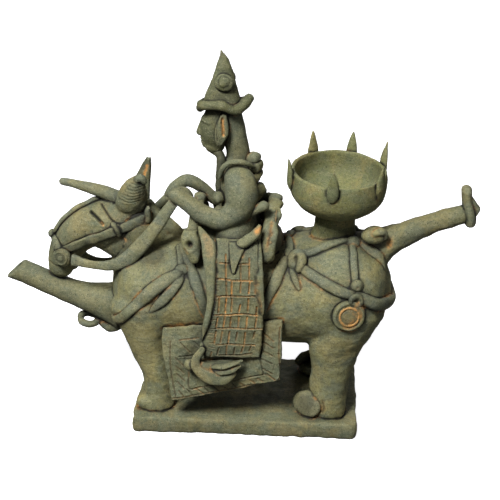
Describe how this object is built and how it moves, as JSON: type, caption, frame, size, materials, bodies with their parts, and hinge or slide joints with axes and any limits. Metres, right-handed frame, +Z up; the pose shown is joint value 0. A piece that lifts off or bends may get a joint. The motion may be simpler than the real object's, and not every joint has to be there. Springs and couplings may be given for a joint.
{
  "type": "earthenware horseman vessel",
  "caption": "Grey earthenware pouring vessel in the shape of an armoured rider on a harnessed horse, with a cup on the rump and a spout on the chest, on a flat slab.",
  "frame": {"origin": "centre of the slab's underside, on the surface that it stands on", "axes": "+Z up; the horse faces -X and its tail points to +X; its left flank, with the detailed harness, is at -Y"},
  "size_m": [0.2954, 0.1119, 0.2369],
  "materials": {
    "fired_clay": "unglazed fired grey clay, matte, olive cast with ochre residue in the grooves"
  },
  "bodies": {
    "root": {"horseman_vessel": "fired_clay"}
  },
  "joints": []
}
